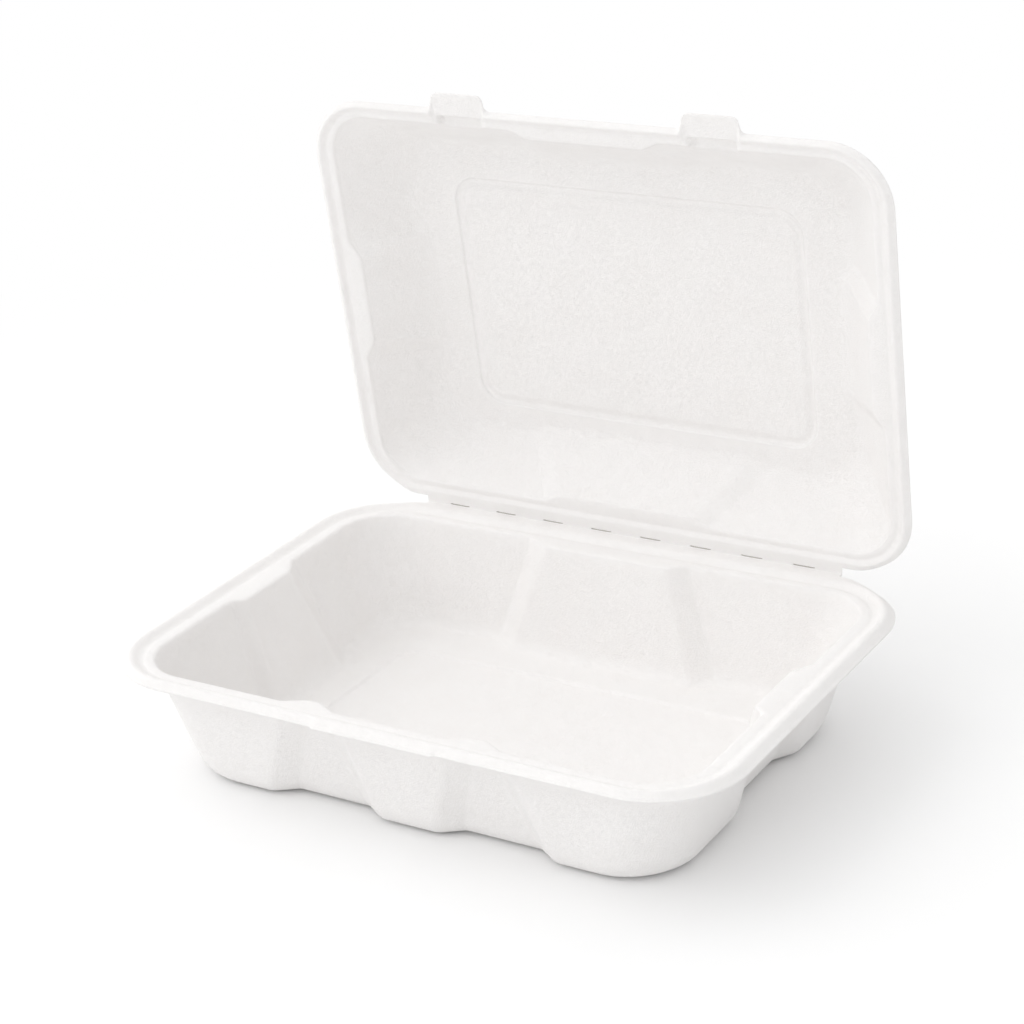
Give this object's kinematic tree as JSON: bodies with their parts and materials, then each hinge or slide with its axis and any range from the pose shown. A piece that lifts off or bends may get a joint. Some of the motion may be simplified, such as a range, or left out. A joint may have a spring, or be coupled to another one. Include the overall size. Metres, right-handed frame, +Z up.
{
  "type": "moulded fibre clamshell food container",
  "caption": "One-piece moulded fibre clamshell: a fluted tray and a hinged fluted lid with latch tabs, joined by a perforated web.",
  "frame": {"origin": "centre of the flat underside of the tray's floor, on the surface that the container stands on", "axes": "+X along the hinge and the long side, +Y from the latches to the hinge, +Z up"},
  "size_m": [0.23, 0.1836, 0.2044],
  "materials": {
    "pulp": "matt pressed fibre"
  },
  "bodies": {
    "tray": {"tray": "pulp"},
    "lid": {"lid": "pulp"}
  },
  "joints": [
    {"name": "lid_hinge", "type": "hinge", "parent": "tray", "child": "lid", "pos_m": [0, 0.0821, 0.04265], "axis": [-1, 0, 0], "range_deg": [-84, 96]}
  ]
}
